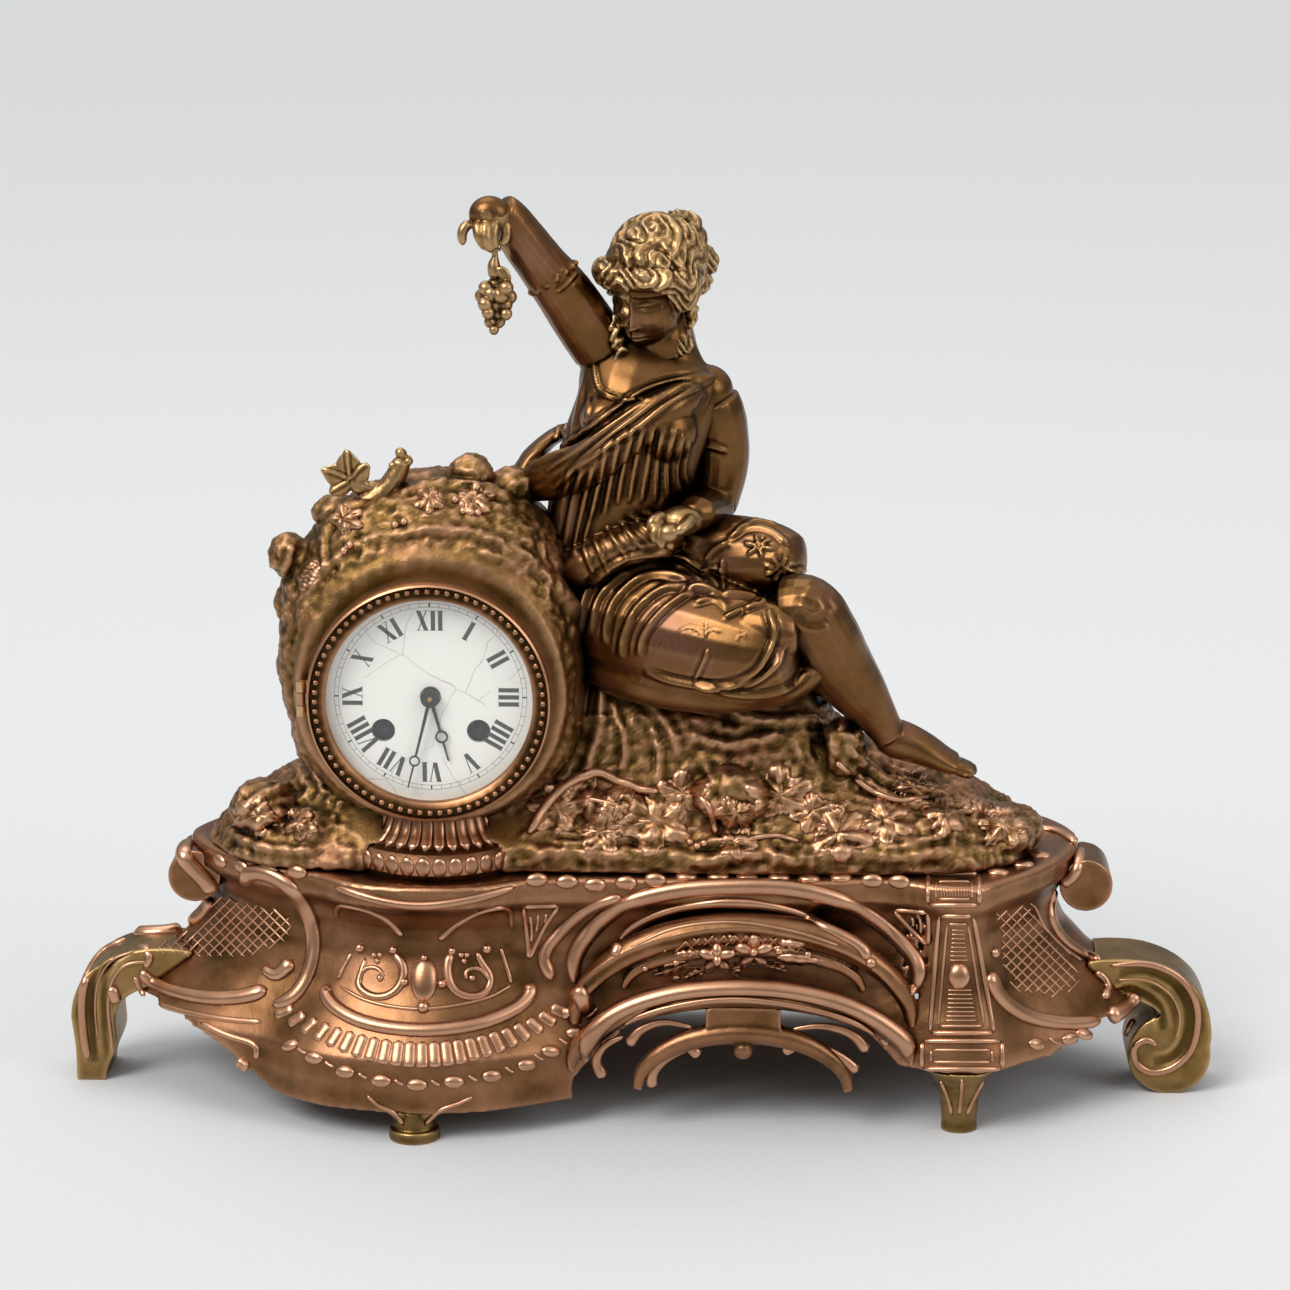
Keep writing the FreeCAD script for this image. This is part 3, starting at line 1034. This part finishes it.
HOUR_EYE_SHARES = (0.62, 0.095)
MINUTE_EYE_SHARES = (0.70, 0.058)
EYE_HOLE_SHARE = 0.72
HAND_HUB_WALL = 0.9
COLLET_RADIUS = 3.6


def make_hand(name, length, eye_shares, y, degrees, hole):
    """A tapered hand with an open eye, that points at an angle clockwise from twelve."""
    a = math.radians(degrees)
    out = V(math.sin(a), 0, math.cos(a))
    side = V(math.cos(a), 0, -math.sin(a))
    middle = V(DRUM_X, y, DRUM_Z)
    corners = [middle + side * HAND_ROOT_HALF, middle + out * length + side * HAND_TIP_HALF,
               middle + out * length - side * HAND_TIP_HALF, middle - side * HAND_ROOT_HALF]
    bar = Part.Face(Part.makePolygon(corners + corners[:1])).extrude(V(0, HAND_THICKNESS, 0))
    eye_out = length * eye_shares[0]
    eye_radius = length * eye_shares[1]
    eye = (eye_out * math.sin(a), eye_out * math.cos(a))
    disc = cylinder(eye_radius, y, y + HAND_THICKNESS, *eye)
    hub = cylinder(hole + HAND_HUB_WALL, y, y + HAND_THICKNESS)
    eye_hole = cylinder(eye_radius * EYE_HOLE_SHARE, y - OVERRUN, y + OVERRUN, *eye)
    save(name, bar.fuse([disc, hub]).cut([eye_hole, cylinder(hole, y - OVERRUN, y + OVERRUN)]))


def make_hands():
    make_hand("hour_hand", HOUR_HAND_LENGTH, HOUR_EYE_SHARES, HOUR_HAND_Y, HOUR_HAND_DEGREES,
              HOUR_PIPE_RADIUS)
    make_hand("minute_hand", MINUTE_HAND_LENGTH, MINUTE_EYE_SHARES, MINUTE_HAND_Y, MINUTE_HAND_DEGREES,
              CANNON_RADIUS)
    save("hand_collet", tube(COLLET_RADIUS, CENTRE_ARBOR_RADIUS, COLLET_Y, COLLET_Y + COLLET_THICKNESS))


PALLET_CLEARANCE = 1.0
PALLET_TIP_RADIUS = 0.5
PALLET_DEGREES = 34
ANCHOR_HUB_RADIUS = 1.8
CRUTCH_LENGTH = 24.0
CRUTCH_HALF = 0.7
CRUTCH_THICKNESS = 1.0
CRUTCH_AHEAD = 3.0
FORK_GAP = 0.6
FORK_WALL = 0.8
FORK_HALF = 1.0
HOOK_HALF = 1.3
HOOK_HEIGHT = 3.0
SPRING_HALF = 1.5
SPRING_LENGTH = 5.0
SPRING_THICKNESS = 0.3
COCK_FOOT_HALF = 7.0
COCK_ARM_HALF = 2.0
COCK_HEIGHT = 3.0
COCK_THICKNESS = 2.0
COCK_DROP = 2.0
ROD_TAIL = 2.0
BOB_EDGE_SHARE = 0.55


def make_escapement():
    """Pallets on their arbor, with the crutch behind the back plate."""
    px, pz = PALLET
    y = ESCAPE_LEVEL + FINE_WHEEL_THICKNESS / 2
    crutch_y = PENDULUM_Y - CRUTCH_AHEAD
    shaft = cylinder(ARBOR_RADIUS, ARBOR_FRONT_Y, crutch_y, *PALLET)
    hub = cylinder(ANCHOR_HUB_RADIUS, y - FINE_WHEEL_THICKNESS, y + FINE_WHEEL_THICKNESS, *PALLET)
    tooth_top = ESCAPE_RADIUS + ADDENDUM_SHARE * 2 * ESCAPE_RADIUS / ESCAPE_TEETH
    reach = tooth_top + PALLET_CLEARANCE + PALLET_TIP_RADIUS
    parts = [hub]
    for side in (-1, 1):
        tip = polar(ESCAPE, reach, 90 - side * (90 - PALLET_DEGREES))
        middle = ((tip[0] + px) / 2 + side * ANCHOR_HUB_RADIUS * 0.4,
                  (tip[1] + pz) / 2 + ANCHOR_HUB_RADIUS * 0.4)
        stations = [(V(DRUM_X + ax, y, DRUM_Z + az), w * PALLET_TIP_RADIUS, FINE_WHEEL_THICKNESS * 0.8)
                    for (ax, az), w in ((PALLET, 2.0), (middle, 1.8), (tip, 1.0))]
        parts.append(limb(stations))
    z = DRUM_Z + pz
    foot = z - CRUTCH_LENGTH
    parts.append(block(DRUM_X - CRUTCH_HALF, DRUM_X + CRUTCH_HALF, crutch_y - CRUTCH_THICKNESS, crutch_y,
                       foot, z))
    parts.append(cylinder(ANCHOR_HUB_RADIUS, crutch_y - 2 * CRUTCH_THICKNESS, crutch_y, *PALLET))
    inner = ROD_RADIUS + FORK_GAP
    outer = inner + FORK_WALL
    parts.append(block(DRUM_X - outer, DRUM_X + outer, crutch_y - CRUTCH_THICKNESS, crutch_y, foot,
                       foot + 2 * FORK_HALF))
    for x0 in (-outer, inner):
        parts.append(block(DRUM_X + x0, DRUM_X + x0 + FORK_WALL, crutch_y - CRUTCH_THICKNESS,
                           PENDULUM_Y + ROD_RADIUS,
                           foot, foot + 2 * FORK_HALF))
    save("pallets_and_crutch", shaft.fuse(parts))


def make_pendulum():
    """The cock with its suspension spring, and the rod and bob that swing under it."""
    pivot_z = DRUM_Z + PALLET[1]
    clamp_z = pivot_z + SPRING_LENGTH
    foot = block(DRUM_X - COCK_FOOT_HALF, DRUM_X + COCK_FOOT_HALF, BACK_PLATE_Y,
                 BACK_PLATE_Y + COCK_THICKNESS,
                 clamp_z - COCK_DROP, clamp_z + COCK_HEIGHT)
    arm = block(DRUM_X - COCK_ARM_HALF, DRUM_X + COCK_ARM_HALF, BACK_PLATE_Y, PENDULUM_Y + COCK_THICKNESS,
                clamp_z,
                clamp_z + COCK_HEIGHT)
    spring = block(DRUM_X - SPRING_HALF, DRUM_X + SPRING_HALF, PENDULUM_Y - SPRING_THICKNESS / 2,
                   PENDULUM_Y + SPRING_THICKNESS / 2, pivot_z, clamp_z + SPRING_THICKNESS)
    save("suspension_cock", foot.fuse([arm, spring]))
    rod_top = pivot_z - END_FLOAT
    bob_z = pivot_z - PENDULUM_LENGTH
    hook = block(DRUM_X - HOOK_HALF, DRUM_X + HOOK_HALF, PENDULUM_Y - ROD_RADIUS, PENDULUM_Y + ROD_RADIUS,
                 rod_top - HOOK_HEIGHT, rod_top)
    rod_foot = bob_z - BOB_RADIUS + ROD_TAIL
    rod = Part.makeCylinder(ROD_RADIUS, rod_top - rod_foot, V(DRUM_X, PENDULUM_Y, rod_foot))
    save("pendulum_rod", hook.fuse(rod))
    half = BOB_THICKNESS / 2
    edge = BOB_RADIUS * BOB_EDGE_SHARE
    lens = Part.makeCone(edge, BOB_RADIUS, half, V(DRUM_X, PENDULUM_Y - half, bob_z), BACK)
    lens = lens.fuse(Part.makeCone(BOB_RADIUS, edge, half, V(DRUM_X, PENDULUM_Y, bob_z), BACK))
    save("pendulum_bob", lens.cut(Part.makeCylinder(ROD_RADIUS, 2 * BOB_RADIUS, V(DRUM_X, PENDULUM_Y,
                                                                                  rod_foot))))


# The bell's profile from the mouth to the crown: radius and depth as shares of the bell's
BELL_SHARES = [(1.0, 0.0), (0.97, 0.25), (0.86, 0.62), (0.62, 0.90), (0.30, 1.0), (0.0, 1.0)]
STAND_POST_RADIUS = 2.2
BELL_THREAD_RADIUS = 1.6
BELL_NUT_RADIUS = 3.4
BELL_NUT_HEIGHT = 2.2
STAND_ARM_HALF = 2.0
STAND_ARM_THICKNESS = 2.0
STAND_OUT_SHARE = 0.56
STAND_DOWN_SHARE = 0.44
HAMMER_HEAD_RADIUS = 2.2
HAMMER_HEAD_LENGTH = 6.0
HAMMER_GAP = 0.6
HAMMER_DEGREES = 202
LEVER_HALF = 0.8
LEVER_THICKNESS = 1.4


def lever(start, end, y, half, thickness):
    """A flat bar between two places seen from the front, with its front face at y."""
    dx = end[0] - start[0]
    dz = end[1] - start[1]
    bar = Part.makeBox(math.hypot(dx, dz), thickness, 2 * half, V(0, 0, -half))
    bar.rotate(V(0, 0, 0), BACK, -math.degrees(math.atan2(dz, dx)))
    bar.translate(V(DRUM_X + start[0], y, DRUM_Z + start[1]))
    return bar


def make_bell_and_hammer():
    z = DRUM_Z - BELL_DROP
    outer = [V(DRUM_X + r * BELL_RADIUS, BELL_Y + d * BELL_DEPTH, z) for r, d in BELL_SHARES]
    inner = [V(DRUM_X + r * (BELL_RADIUS - BELL_WALL), BELL_Y + d * (BELL_DEPTH - BELL_WALL), z) for r,
             d in BELL_SHARES]
    loop = outer + inner[::-1]
    bell = Part.Face(Part.makePolygon(loop + loop[:1])).revolve(V(DRUM_X, BELL_Y, z), BACK, 360)
    crown_y = BELL_Y + BELL_DEPTH
    save("bell", bell.cut(cylinder(BELL_THREAD_RADIUS + RUNNING_GAP, BELL_Y, crown_y + OVERRUN, 0,
                                   -BELL_DROP)))
    middle = (0, -BELL_DROP)
    side = (STAND_OUT_SHARE * BELL_RADIUS, -BELL_DROP - STAND_DOWN_SHARE * BELL_RADIUS)
    arm_y = BELL_Y + BELL_DEPTH / 4
    post = cylinder(STAND_POST_RADIUS, BACK_PLATE_Y, arm_y + STAND_ARM_THICKNESS, *side)
    arm = lever(middle, side, arm_y, STAND_ARM_HALF, STAND_ARM_THICKNESS)
    shoulder = cylinder(STAND_POST_RADIUS, arm_y, crown_y - BELL_WALL, *middle)
    thread = cylinder(BELL_THREAD_RADIUS, arm_y, crown_y + BELL_NUT_HEIGHT, *middle)
    save("bell_stand", post.fuse([arm, shoulder, thread]))
    save("bell_nut", tube(BELL_NUT_RADIUS, BELL_THREAD_RADIUS, crown_y, crown_y + BELL_NUT_HEIGHT, *middle))

    head = polar(middle, BELL_RADIUS + HAMMER_HEAD_RADIUS + HAMMER_GAP, HAMMER_DEGREES)
    lever_y = BELL_Y - LEVER_THICKNESS
    shaft = cylinder(ARBOR_RADIUS, ARBOR_FRONT_Y, BELL_Y, *HAMMER)
    boss = cylinder(STAND_POST_RADIUS, lever_y, BELL_Y, *HAMMER)
    knob = cylinder(HAMMER_HEAD_RADIUS, lever_y, lever_y + HAMMER_HEAD_LENGTH, *head)
    save("hammer", shaft.fuse([boss, knob, lever(HAMMER, head, lever_y, LEVER_HALF, LEVER_THICKNESS)]))


# Case of the movement

HINGE_PIN_RADIUS = 0.9
KNUCKLE_RADIUS = 1.9
KNUCKLE_HALF = 7.0
KNUCKLE_SPLIT = 2.5
LEAF_THICKNESS = 1.4
TAB_HALF = 0.75
DOOR_THICKNESS = 2.2
REAR_RING_LIP = 4.2
REAR_RING_STEP = 2.6
REAR_RING_THICKNESS = 3.0
PULL_RADIUS = 2.4
PULL_LENGTH = 5.0
DOOR_BEAD_HEIGHT = 1.0
HINGE_GAP = 0.4
FRONT_HINGE_X = DRUM_X - BEZEL_RADIUS - KNUCKLE_RADIUS - HINGE_GAP
FRONT_HINGE_Y = SEAT_FRONT_Y - KNUCKLE_RADIUS / 2
REAR_HINGE_X = DRUM_X + BORE_RADIUS + REAR_RING_LIP + KNUCKLE_RADIUS
REAR_RING_Y = DRUM_REAR_Y + REAR_RING_THICKNESS
REAR_HINGE_Y = REAR_RING_Y + KNUCKLE_RADIUS / 2


def hinge_half(x, y, spans, leaf):
    """Knuckles on a leaf, bored for the pin. The spans are measured up from the drum's centre."""
    knuckles = []
    for z0, z1 in spans:
        knuckles.append(Part.makeCylinder(KNUCKLE_RADIUS, z1 - z0, V(x, y, DRUM_Z + z0)))
    bore = Part.makeCylinder(HINGE_PIN_RADIUS + RUNNING_GAP, 4 * KNUCKLE_HALF, V(x, y,
                                                                                 DRUM_Z - 2 * KNUCKLE_HALF))
    return leaf.fuse(knuckles).cut(bore)


def fixed_half(x, y, x0, x1, y0, y1, body):
    """The outer knuckles and their leaf on a ring, with room for the door's knuckle between them."""
    leaf = block(x0, x1, y0, y1, DRUM_Z - KNUCKLE_HALF, DRUM_Z + KNUCKLE_HALF)
    gap = KNUCKLE_SPLIT + END_FLOAT
    room = block(x - KNUCKLE_RADIUS - HINGE_GAP, x + KNUCKLE_RADIUS + HINGE_GAP, y - OVERRUN, y + OVERRUN,
                 DRUM_Z - gap, DRUM_Z + gap)
    return hinge_half(x, y, ((-KNUCKLE_HALF, -gap), (gap, KNUCKLE_HALF)), body.fuse(leaf).cut(room))


def moving_half(x, y, x0, x1, body):
    tab = block(x0, x1, y - TAB_HALF, y + TAB_HALF, DRUM_Z - KNUCKLE_SPLIT, DRUM_Z + KNUCKLE_SPLIT)
    return hinge_half(x, y, ((-KNUCKLE_SPLIT, KNUCKLE_SPLIT),), body.fuse(tab))


# The door's section: out from the sight edge to the rim, and forward from its back, as shares
BEZEL_SHARES = [(0.0, 0.0), (0.0, 0.45), (0.08, 0.60), (0.36, 0.78), (0.78, 0.78), (0.84, 1.0), (0.94,
                                                                                                 0.92),
                (1.0, 0.60), (1.0, 0.0)]
BEAD_SHARES = (0.57, 0.74)


def make_front():
    """The fixed seat ring with its half of the hinge, and the beaded door with its glass."""
    seat = tube(BEZEL_RADIUS, DIAL_RADIUS + SEAT_GAP, SEAT_FRONT_Y, DRUM_FRONT_Y)
    x = FRONT_HINGE_X
    y = FRONT_HINGE_Y
    save("front_seat_ring", fixed_half(x, y, x, DRUM_X - BEZEL_RADIUS * 0.97, SEAT_FRONT_Y,
                                       SEAT_FRONT_Y + LEAF_THICKNESS, seat))
    back = SEAT_FRONT_Y - SEAT_GAP
    depth = BEZEL_DEPTH - SEAT_GAP
    width = BEZEL_RADIUS - SIGHT_RADIUS
    corners = [V(DRUM_X + SIGHT_RADIUS + r * width, back - d * depth, DRUM_Z) for r, d in BEZEL_SHARES]
    door = Part.Face(Part.makePolygon(corners + corners[:1])).revolve(V(DRUM_X, 0, DRUM_Z), BACK, 360)
    glass_y = back - GLASS_SEAT_SHARE * depth
    door = door.cut(cylinder(SIGHT_RADIUS + BEZEL_REBATE, glass_y, back + OVERRUN))
    beads = []
    for i in range(BEAD_COUNT):
        a = 2 * math.pi * i / BEAD_COUNT
        r = SIGHT_RADIUS + BEAD_SHARES[0] * width
        place = V(DRUM_X + r * math.cos(a), back - BEAD_SHARES[1] * depth, DRUM_Z + r * math.sin(a))
        beads.append(ball(place, BEAD_RADIUS))
    save("beaded_bezel", moving_half(x, y, x, DRUM_X - BEZEL_RADIUS + BEZEL_LIP, door.fuse(beads)))
    save("bezel_glass", cylinder(SIGHT_RADIUS + BEZEL_REBATE - RUNNING_GAP, glass_y,
                                 glass_y + GLASS_THICKNESS))


DIAL_HOLE_RADIUS = 4.2
DIAL_PLATE_HOLE_RADIUS = 5.0
DIAL_LEG_RADIUS = 1.5
DIAL_LEG_CIRCLE = 33.0
DIAL_LEG_DEGREES = (60, 180, 300)


def make_dial():
    """The enamel dial, and the plate behind it whose legs carry the movement."""
    holes = []
    for place in (GOING_BARREL, STRIKE_BARREL):
        holes.append(cylinder(WINDING_HOLE_RADIUS, DIAL_Y - OVERRUN, FRONT_PLATE_Y, *place))
    dial = cylinder(DIAL_RADIUS, DIAL_Y, DRUM_FRONT_Y)
    save("enamel_dial", dial.cut(holes + [cylinder(DIAL_HOLE_RADIUS, DIAL_Y - OVERRUN, FRONT_PLATE_Y)]))
    plate_back = DRUM_FRONT_Y + DIAL_PLATE_THICKNESS
    plate = tube(BORE_RADIUS - SEAT_GAP, DIAL_PLATE_HOLE_RADIUS, DRUM_FRONT_Y, plate_back).cut(holes)
    legs = [cylinder(DIAL_LEG_RADIUS, plate_back, FRONT_PLATE_Y, *polar(CENTRE, DIAL_LEG_CIRCLE, d))
            for d in DIAL_LEG_DEGREES]
    save("dial_plate", plate.fuse(legs))


STRAP_DEGREES = (12, 192)
STRAP_RADIUS = 1.7
STRAP_SCREW_RADIUS = 1.0
STRAP_SHORT = 3.0
STRAP_CIRCLE = BORE_RADIUS - STRAP_RADIUS - RUNNING_GAP


def make_rear():
    """The straps that pull the front and rear rings together, and the round door at the back."""
    x = REAR_HINGE_X
    y = REAR_HINGE_Y
    rear = tube(BORE_RADIUS + REAR_RING_LIP, BORE_RADIUS - REAR_RING_STEP, DRUM_REAR_Y, REAR_RING_Y)
    rear = fixed_half(x, y, DRUM_X + BORE_RADIUS, x, REAR_RING_Y - LEAF_THICKNESS, REAR_RING_Y, rear)
    places = [polar(CENTRE, STRAP_CIRCLE, d) for d in STRAP_DEGREES]
    for place in places:
        rear = rear.cut(cylinder(STRAP_SCREW_RADIUS + RUNNING_GAP, DRUM_REAR_Y - OVERRUN,
                                 REAR_RING_Y + OVERRUN, *place))
    save("rear_ring", rear)
    pins = []
    for px, py in ((FRONT_HINGE_X, FRONT_HINGE_Y), (x, y)):
        pins.append(Part.makeCylinder(HINGE_PIN_RADIUS, 2 * KNUCKLE_HALF, V(px, py, DRUM_Z - KNUCKLE_HALF)))
    save("hinge_pins", *pins)
    door_y0 = REAR_RING_Y + SEAT_GAP
    door_y1 = door_y0 + DOOR_THICKNESS
    door = cylinder(BORE_RADIUS, door_y0, door_y1)
    bead = tube(BORE_RADIUS * 0.86, BORE_RADIUS * 0.78, door_y1, door_y1 + DOOR_BEAD_HEIGHT)
    pull = cylinder(PULL_RADIUS, door_y1, door_y1 + PULL_LENGTH, -BORE_RADIUS * 0.70, 0)
    save("rear_door", moving_half(x, y, DRUM_X + BORE_RADIUS - BEZEL_LIP, x, door.fuse([bead, pull])))
    straps = []
    screws = []
    for place in places:
        strap_back = DRUM_REAR_Y - STRAP_SHORT
        straps.append(cylinder(STRAP_RADIUS, DRUM_FRONT_Y + DIAL_PLATE_THICKNESS, strap_back, *place))
        screws.append(cylinder(STRAP_SCREW_RADIUS, strap_back, REAR_RING_Y, *place))
    save("case_straps", *straps)
    save("strap_screws", *screws)


def main():
    form, base = make_base()
    save("plinth", base)
    save("left_scroll_foot", make_scroll_foot(-1, form))
    save("right_scroll_foot", make_scroll_foot(1, form))
    save("front_bracket_foot", make_bracket_foot(form))
    save("pilaster_foot", make_leaf_foot(form))
    outer, inner, lower = make_front_scrolls(form)
    save("panel_scrolls", outer, inner, lower)
    save("front_apron", make_apron(lower, form))
    save("cornice_volutes", make_corner_volute(-1, form), make_corner_volute(1, form))

    bore = cylinder(BORE_RADIUS, DRUM_FRONT_Y - OVERRUN, DRUM_REAR_Y + OVERRUN)
    socle = make_socle(bore)
    rock, mound = make_mound(socle, bore)
    save("fluted_socle", socle)
    save("mound", mound)
    save("mound_studs", *make_studs())
    save("vine_sprig", make_sprig(rock))
    pieces = make_figure(rock)
    for name, shape in pieces.items():
        save(name, shape)
    save("grape_bunch", make_grapes(pieces["raised_arm"]))

    make_frame()
    make_barrel("going", GOING_BARREL)
    make_barrel("strike", STRIKE_BARREL)
    save("click_screws", make_click("going", GOING_BARREL, -1), make_click("strike", STRIKE_BARREL, 1))
    make_going_train()
    make_strike_train()
    make_motion_work()
    make_hands()
    make_escapement()
    make_pendulum()
    make_bell_and_hammer()
    make_front()
    make_dial()
    make_rear()


main()
